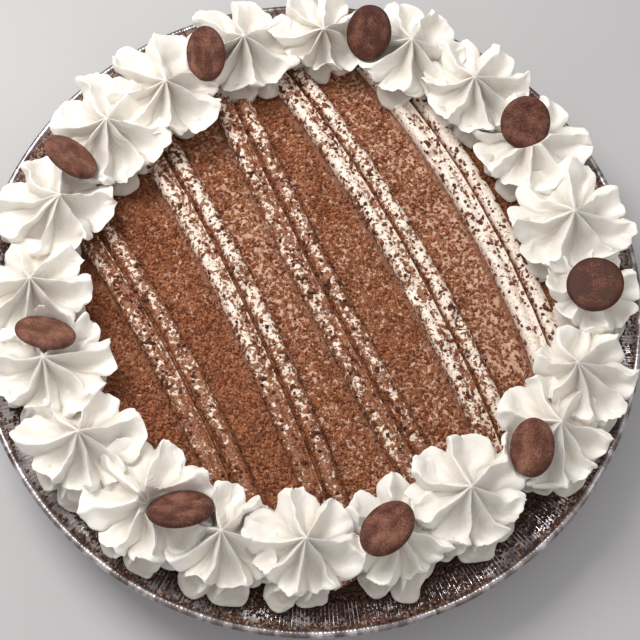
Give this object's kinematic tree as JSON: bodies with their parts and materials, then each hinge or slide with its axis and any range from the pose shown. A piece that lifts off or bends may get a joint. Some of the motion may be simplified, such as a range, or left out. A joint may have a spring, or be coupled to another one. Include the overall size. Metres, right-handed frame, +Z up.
{
  "type": "chocolate cream pie",
  "caption": "Round chocolate cream pie in a foil tin, with a crumb crust, piped cream lines under chocolate shavings, and a ring of cream rosettes set with chocolate discs.",
  "frame": {"origin": "centre of the tin's underside", "axes": "+Z up out of the pie, -Y towards the viewer of the picture, +X to the right"},
  "size_m": [0.257, 0.257, 0.0596],
  "materials": {
    "foil_metal": "bright pleated foil",
    "dark_crumb": "rough baked crumb",
    "chocolate_cream": "matt set cream under chocolate shavings",
    "whipped_cream": "soft satin cream",
    "milk_chocolate": "satin chocolate"
  },
  "bodies": {
    "root": {"foil_tin": "foil_metal", "crumb_crust": "dark_crumb", "chocolate_filling": "chocolate_cream", "cream_line_1": "whipped_cream", "cream_line_2": "whipped_cream", "cream_line_3": "whipped_cream", "cream_line_4": "whipped_cream", "cream_line_5": "whipped_cream", "cream_rosette_01": "whipped_cream", "cream_rosette_02": "whipped_cream", "cream_rosette_03": "whipped_cream", "cream_rosette_04": "whipped_cream", "cream_rosette_05": "whipped_cream", "cream_rosette_06": "whipped_cream", "cream_rosette_07": "whipped_cream", "cream_rosette_08": "whipped_cream", "cream_rosette_09": "whipped_cream", "cream_rosette_10": "whipped_cream", "cream_rosette_11": "whipped_cream", "cream_rosette_12": "whipped_cream", "cream_rosette_13": "whipped_cream", "cream_rosette_14": "whipped_cream", "cream_rosette_15": "whipped_cream", "cream_rosette_16": "whipped_cream", "cream_rosette_17": "whipped_cream", "cream_rosette_18": "whipped_cream", "cream_rosette_19": "whipped_cream", "cream_rosette_20": "whipped_cream", "chocolate_disc_1": "milk_chocolate", "chocolate_disc_2": "milk_chocolate", "chocolate_disc_3": "milk_chocolate", "chocolate_disc_4": "milk_chocolate", "chocolate_disc_5": "milk_chocolate", "chocolate_disc_6": "milk_chocolate", "chocolate_disc_7": "milk_chocolate", "chocolate_disc_8": "milk_chocolate", "chocolate_disc_9": "milk_chocolate"}
  },
  "joints": []
}
